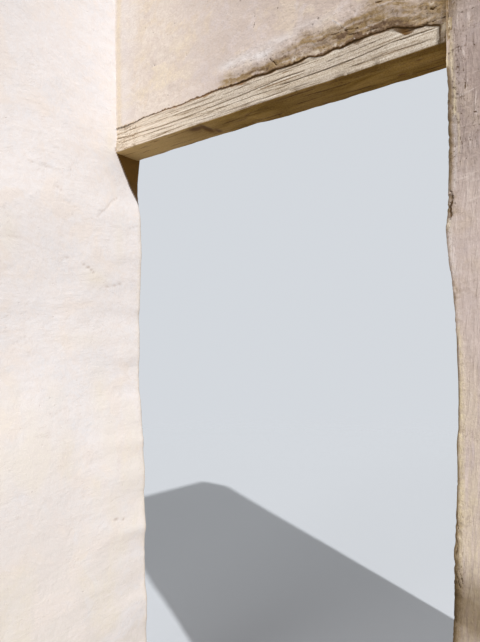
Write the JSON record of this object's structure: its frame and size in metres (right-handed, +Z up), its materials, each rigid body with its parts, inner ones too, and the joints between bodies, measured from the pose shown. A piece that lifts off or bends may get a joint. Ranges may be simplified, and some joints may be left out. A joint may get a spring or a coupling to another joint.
{
  "type": "courtyard gateway",
  "caption": "Open courtyard gateway: two lime-plastered masonry side walls joined by a thin header wall on a weathered timber lintel.",
  "frame": {"origin": "on the ground, in the middle of the object's plan, which is the middle of the walk-through opening", "axes": "+Z up; +X along the header, to the right of someone who walks in; +Y through the opening, into the courtyard"},
  "size_m": [2.146, 2.9, 3.2685],
  "materials": {
    "limewash_white": "matte limewash, trowelled by hand",
    "plaster_cream": "matte lime plaster, stained",
    "plaster_pink": "matte limewash, brushed, worn at the edge",
    "timber": "bare, bleached and split"
  },
  "bodies": {
    "root": {"left_wall": "limewash_white", "left_wall_crown": "limewash_white", "right_pier": "plaster_pink", "right_wall": "limewash_white", "right_wall_crown": "limewash_white", "lintel": "timber", "header_wall": "plaster_cream", "header_crown": "plaster_cream", "plaster_lip": "plaster_cream", "lintel_packing": "plaster_pink"}
  },
  "joints": []
}
